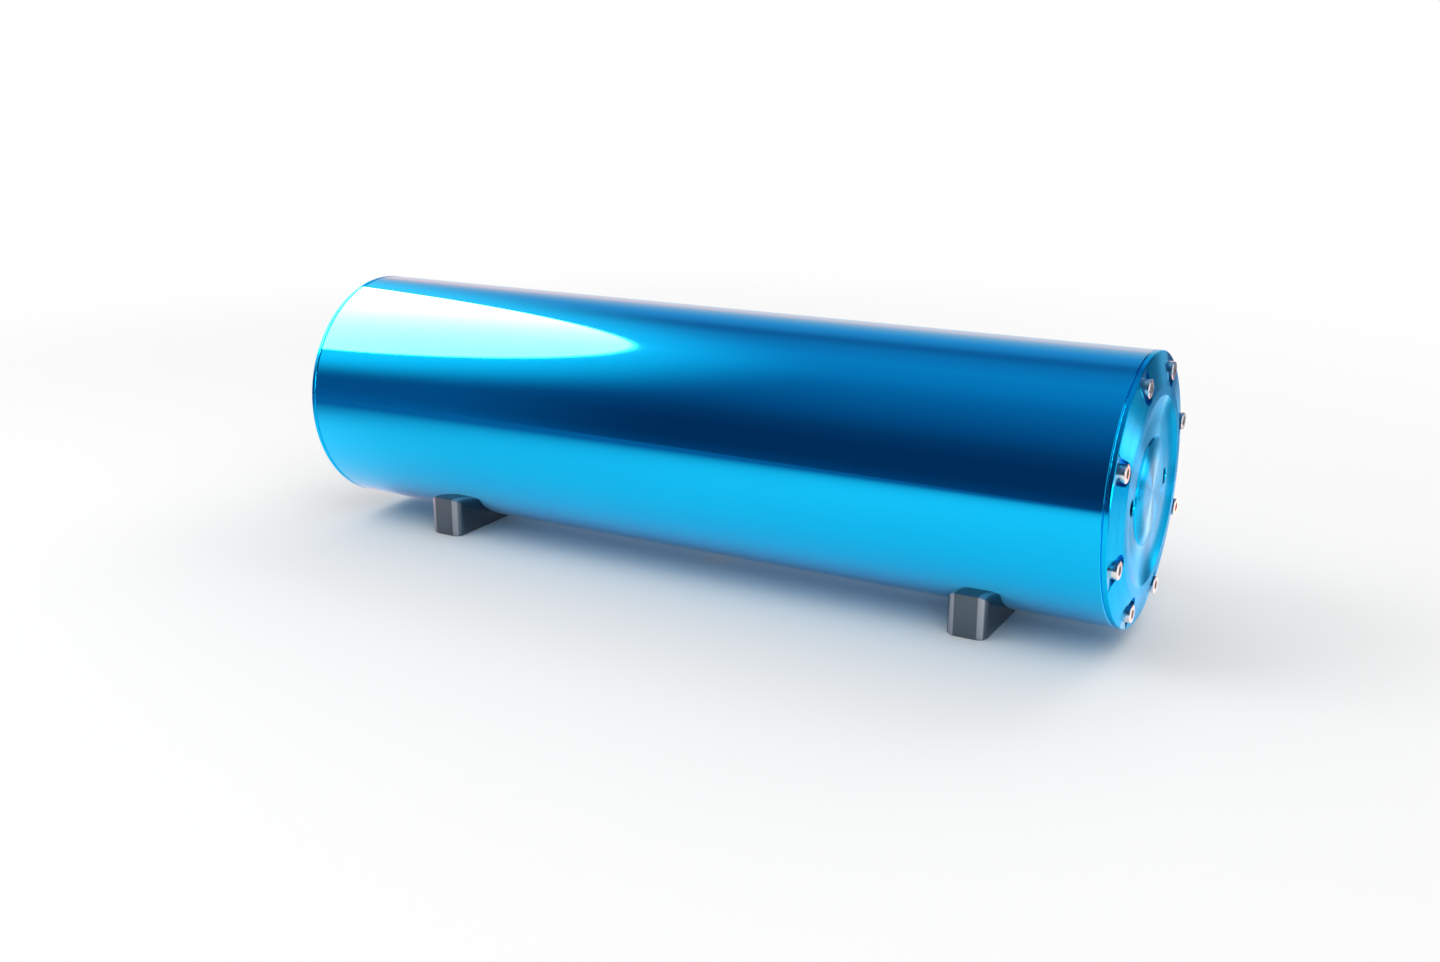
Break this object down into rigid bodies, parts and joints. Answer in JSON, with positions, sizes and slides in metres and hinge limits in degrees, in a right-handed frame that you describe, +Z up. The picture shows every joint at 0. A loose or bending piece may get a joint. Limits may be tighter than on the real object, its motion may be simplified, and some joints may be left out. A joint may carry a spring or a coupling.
{
  "type": "compressed air tank",
  "caption": "Cylindrical compressed air tank: thick tube, two screwed end caps with a dished face and tapped ports, and two saddle feet.",
  "frame": {"origin": "on the floor, below the middle of the tube", "axes": "+X along the tube's axis towards the front cap, +Y across the tube, +Z up"},
  "size_m": [0.542, 0.1524, 0.1624],
  "materials": {
    "tube_blue": "blue anodised, glossy satin",
    "cap_blue": "blue anodised, finely turned",
    "screw_steel": "bright stainless",
    "foot_black": "black anodised, satin",
    "seal_rubber": "matte"
  },
  "bodies": {
    "root": {"tank_tube": "tube_blue", "front_cap": "cap_blue", "rear_cap": "cap_blue", "front_seal_ring": "seal_rubber", "rear_seal_ring": "seal_rubber", "front_cap_screws": "screw_steel", "rear_cap_screws": "screw_steel", "left_foot": "foot_black", "right_foot": "foot_black", "left_foot_screws": "screw_steel", "right_foot_screws": "screw_steel", "drain_plug": "screw_steel", "drain_seal": "seal_rubber"}
  },
  "joints": []
}
